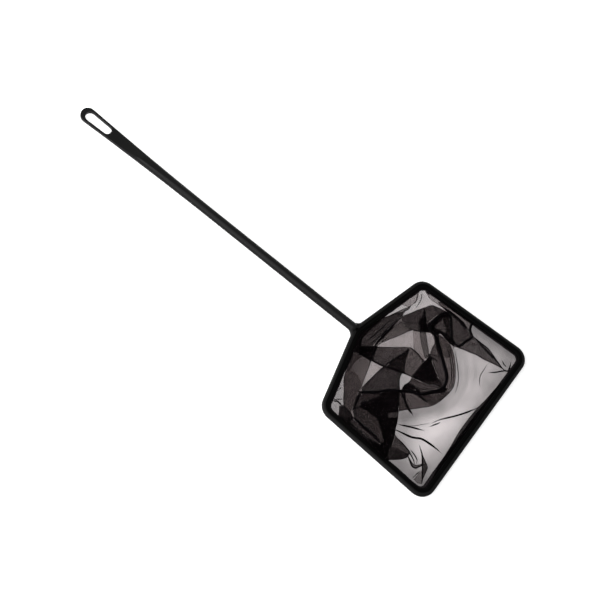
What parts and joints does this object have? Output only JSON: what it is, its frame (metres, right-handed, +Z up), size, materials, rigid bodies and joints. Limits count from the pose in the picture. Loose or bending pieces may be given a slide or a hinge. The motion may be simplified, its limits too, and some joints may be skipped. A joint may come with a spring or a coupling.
{
  "type": "aquarium fish net",
  "caption": "Flat hand net with a soft mesh bag clamped in a five-sided moulded hoop, and a long slim handle with a hanging slot.",
  "frame": {"origin": "under the middle of the net's length, on the surface that it lies on", "axes": "+X along the handle towards the hoop's far end, +Y to the left seen from above along the handle, +Z up"},
  "size_m": [0.3814, 0.1482, 0.0071],
  "materials": {
    "black_plastic": "satin",
    "ring_plastic": "satin",
    "hem_tape": "matt woven tape",
    "mesh": "fine open mesh",
    "seam_thread": "overlocked thread"
  },
  "bodies": {
    "root": {"frame": "black_plastic", "retaining_ring": "ring_plastic", "net_hem": "hem_tape", "net_bag": "mesh", "net_seam": "seam_thread"}
  },
  "joints": []
}
